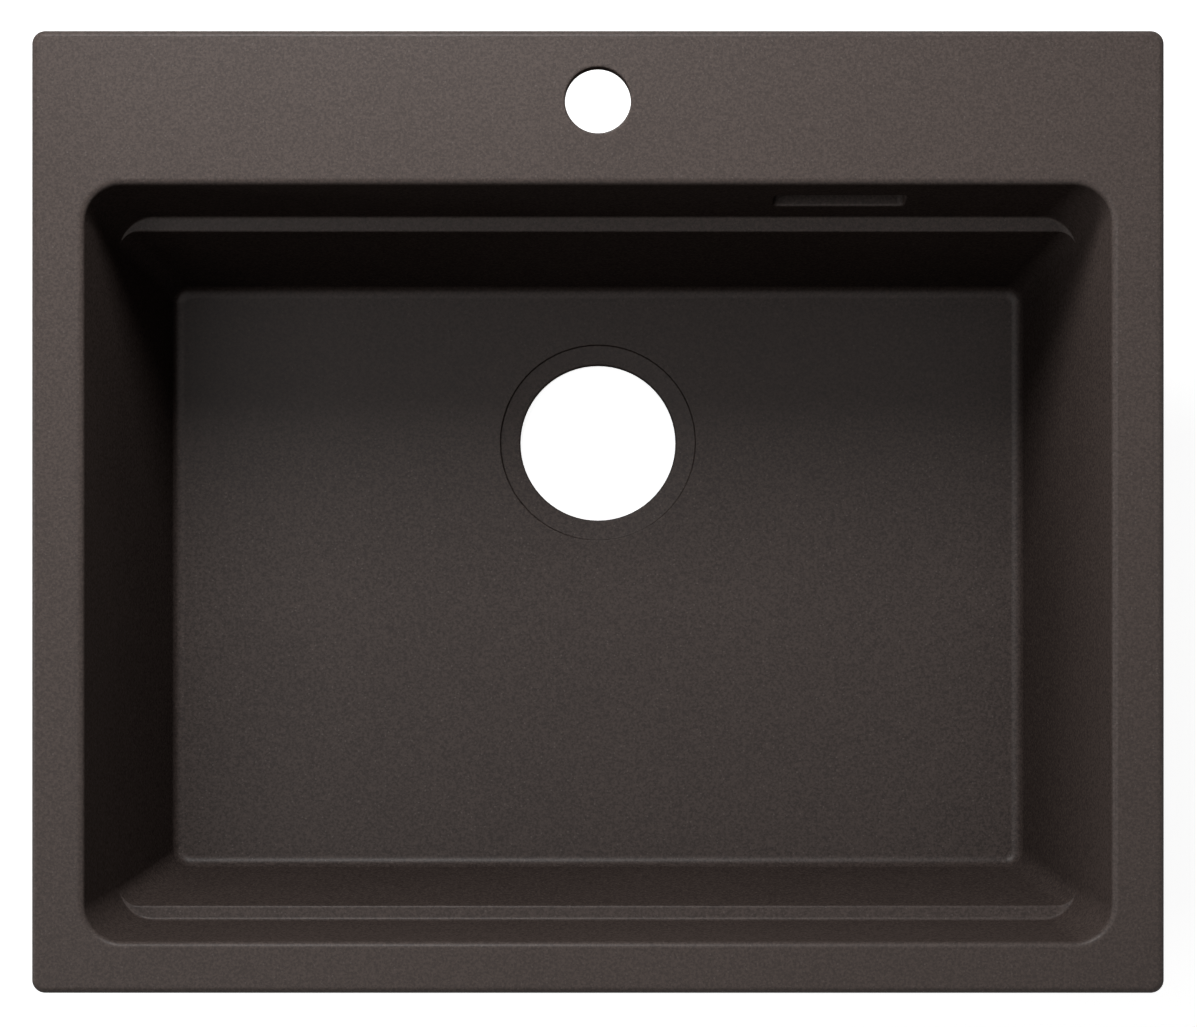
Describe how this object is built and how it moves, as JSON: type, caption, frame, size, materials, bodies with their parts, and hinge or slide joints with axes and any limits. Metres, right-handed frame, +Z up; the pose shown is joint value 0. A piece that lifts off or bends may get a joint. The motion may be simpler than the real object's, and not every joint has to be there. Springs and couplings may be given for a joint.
{
  "type": "inset sink",
  "caption": "Inset kitchen sink in speckled brown granite composite: tap deck, deep bowl with ledges front and back, overflow slot and swing-out fixing clips under the rim.",
  "frame": {"origin": "under the middle of the rim's outline, on the plane that the base rests on", "axes": "+X to the user's right, +Y to the back, towards the tap deck, +Z up"},
  "size_m": [0.6, 0.51, 0.2],
  "materials": {
    "granite_composite": "matte, finely speckled",
    "foam_seal": "closed-cell foam",
    "black_rubber": "moulded",
    "black_plastic": "fine satin",
    "brass": "turned",
    "zinc_steel": "bright zinc plated",
    "claw_steel": "pressed, galvanised",
    "nylon": "natural moulded nylon"
  },
  "bodies": {
    "sink": {"sink_moulding": "granite_composite", "rim_seal": "foam_seal", "overflow_gasket": "black_rubber", "overflow_housing": "black_plastic", "overflow_inserts": "brass", "overflow_screws": "zinc_steel", "clip_anchor_1": "nylon", "clip_anchor_2": "nylon", "clip_anchor_3": "nylon", "clip_anchor_4": "nylon", "clip_anchor_5": "nylon", "clip_anchor_6": "nylon", "clip_anchor_7": "nylon", "clip_anchor_8": "nylon"},
    "clip_carriage_1": {"clip_washer_1": "zinc_steel"},
    "clip_drive_1": {"clip_screw_1": "zinc_steel"},
    "clip_grip_1": {"clip_claw_1": "claw_steel"},
    "clip_carriage_2": {"clip_washer_2": "zinc_steel"},
    "clip_drive_2": {"clip_screw_2": "zinc_steel"},
    "clip_grip_2": {"clip_claw_2": "claw_steel"},
    "clip_carriage_3": {"clip_washer_3": "zinc_steel"},
    "clip_drive_3": {"clip_screw_3": "zinc_steel"},
    "clip_grip_3": {"clip_claw_3": "claw_steel"},
    "clip_carriage_4": {"clip_washer_4": "zinc_steel"},
    "clip_drive_4": {"clip_screw_4": "zinc_steel"},
    "clip_grip_4": {"clip_claw_4": "claw_steel"},
    "clip_carriage_5": {"clip_washer_5": "zinc_steel"},
    "clip_drive_5": {"clip_screw_5": "zinc_steel"},
    "clip_grip_5": {"clip_claw_5": "claw_steel"},
    "clip_carriage_6": {"clip_washer_6": "zinc_steel"},
    "clip_drive_6": {"clip_screw_6": "zinc_steel"},
    "clip_grip_6": {"clip_claw_6": "claw_steel"},
    "clip_carriage_7": {"clip_washer_7": "zinc_steel"},
    "clip_drive_7": {"clip_screw_7": "zinc_steel"},
    "clip_grip_7": {"clip_claw_7": "claw_steel"},
    "clip_carriage_8": {"clip_washer_8": "zinc_steel"},
    "clip_drive_8": {"clip_screw_8": "zinc_steel"},
    "clip_grip_8": {"clip_claw_8": "claw_steel"}
  },
  "joints": [
    {"name": "clip_lift_1", "type": "slide", "parent": "sink", "child": "clip_carriage_1", "axis": [0, 0, 1], "range_m": [0, 0.014]},
    {"name": "clip_screw_turn_1", "type": "hinge", "parent": "clip_carriage_1", "child": "clip_drive_1", "pos_m": [0.282, -0.14225, 0.15], "axis": [0, 0, 1], "range_deg": [0, 3600]},
    {"name": "clip_swing_1", "type": "hinge", "parent": "clip_carriage_1", "child": "clip_grip_1", "pos_m": [0.282, -0.14225, 0.137], "axis": [0, 0, 1], "range_deg": [0, 90]},
    {"name": "clip_lift_2", "type": "slide", "parent": "sink", "child": "clip_carriage_2", "axis": [0, 0, 1], "range_m": [0, 0.014]},
    {"name": "clip_screw_turn_2", "type": "hinge", "parent": "clip_carriage_2", "child": "clip_drive_2", "pos_m": [0.282, 0.08775, 0.15], "axis": [0, 0, 1], "range_deg": [0, 3600]},
    {"name": "clip_swing_2", "type": "hinge", "parent": "clip_carriage_2", "child": "clip_grip_2", "pos_m": [0.282, 0.08775, 0.137], "axis": [0, 0, 1], "range_deg": [0, 90]},
    {"name": "clip_lift_3", "type": "slide", "parent": "sink", "child": "clip_carriage_3", "axis": [0, 0, 1], "range_m": [0, 0.014]},
    {"name": "clip_screw_turn_3", "type": "hinge", "parent": "clip_carriage_3", "child": "clip_drive_3", "pos_m": [0.21, 0.237, 0.15], "axis": [0, 0, 1], "range_deg": [0, 3600]},
    {"name": "clip_swing_3", "type": "hinge", "parent": "clip_carriage_3", "child": "clip_grip_3", "pos_m": [0.21, 0.237, 0.137], "axis": [0, 0, 1], "range_deg": [0, 90]},
    {"name": "clip_lift_4", "type": "slide", "parent": "sink", "child": "clip_carriage_4", "axis": [0, 0, 1], "range_m": [0, 0.014]},
    {"name": "clip_screw_turn_4", "type": "hinge", "parent": "clip_carriage_4", "child": "clip_drive_4", "pos_m": [-0.21, 0.237, 0.15], "axis": [0, 0, 1], "range_deg": [0, 3600]},
    {"name": "clip_swing_4", "type": "hinge", "parent": "clip_carriage_4", "child": "clip_grip_4", "pos_m": [-0.21, 0.237, 0.137], "axis": [0, 0, 1], "range_deg": [0, 90]},
    {"name": "clip_lift_5", "type": "slide", "parent": "sink", "child": "clip_carriage_5", "axis": [0, 0, 1], "range_m": [0, 0.014]},
    {"name": "clip_screw_turn_5", "type": "hinge", "parent": "clip_carriage_5", "child": "clip_drive_5", "pos_m": [-0.282, 0.08775, 0.15], "axis": [0, 0, 1], "range_deg": [0, 3600]},
    {"name": "clip_swing_5", "type": "hinge", "parent": "clip_carriage_5", "child": "clip_grip_5", "pos_m": [-0.282, 0.08775, 0.137], "axis": [0, 0, 1], "range_deg": [0, 90]},
    {"name": "clip_lift_6", "type": "slide", "parent": "sink", "child": "clip_carriage_6", "axis": [0, 0, 1], "range_m": [0, 0.014]},
    {"name": "clip_screw_turn_6", "type": "hinge", "parent": "clip_carriage_6", "child": "clip_drive_6", "pos_m": [-0.282, -0.14225, 0.15], "axis": [0, 0, 1], "range_deg": [0, 3600]},
    {"name": "clip_swing_6", "type": "hinge", "parent": "clip_carriage_6", "child": "clip_grip_6", "pos_m": [-0.282, -0.14225, 0.137], "axis": [0, 0, 1], "range_deg": [0, 90]},
    {"name": "clip_lift_7", "type": "slide", "parent": "sink", "child": "clip_carriage_7", "axis": [0, 0, 1], "range_m": [0, 0.014]},
    {"name": "clip_screw_turn_7", "type": "hinge", "parent": "clip_carriage_7", "child": "clip_drive_7", "pos_m": [-0.15, -0.237, 0.15], "axis": [0, 0, 1], "range_deg": [0, 3600]},
    {"name": "clip_swing_7", "type": "hinge", "parent": "clip_carriage_7", "child": "clip_grip_7", "pos_m": [-0.15, -0.237, 0.137], "axis": [0, 0, 1], "range_deg": [0, 90]},
    {"name": "clip_lift_8", "type": "slide", "parent": "sink", "child": "clip_carriage_8", "axis": [0, 0, 1], "range_m": [0, 0.014]},
    {"name": "clip_screw_turn_8", "type": "hinge", "parent": "clip_carriage_8", "child": "clip_drive_8", "pos_m": [0.15, -0.237, 0.15], "axis": [0, 0, 1], "range_deg": [0, 3600]},
    {"name": "clip_swing_8", "type": "hinge", "parent": "clip_carriage_8", "child": "clip_grip_8", "pos_m": [0.15, -0.237, 0.137], "axis": [0, 0, 1], "range_deg": [0, 90]}
  ],
  "couplings": [
    {"joint": "clip_screw_turn_1", "follows": "clip_lift_1", "rad_per_m": 4488},
    {"joint": "clip_screw_turn_2", "follows": "clip_lift_2", "rad_per_m": 4488},
    {"joint": "clip_screw_turn_3", "follows": "clip_lift_3", "rad_per_m": 4488},
    {"joint": "clip_screw_turn_4", "follows": "clip_lift_4", "rad_per_m": 4488},
    {"joint": "clip_screw_turn_5", "follows": "clip_lift_5", "rad_per_m": 4488},
    {"joint": "clip_screw_turn_6", "follows": "clip_lift_6", "rad_per_m": 4488},
    {"joint": "clip_screw_turn_7", "follows": "clip_lift_7", "rad_per_m": 4488},
    {"joint": "clip_screw_turn_8", "follows": "clip_lift_8", "rad_per_m": 4488}
  ]
}
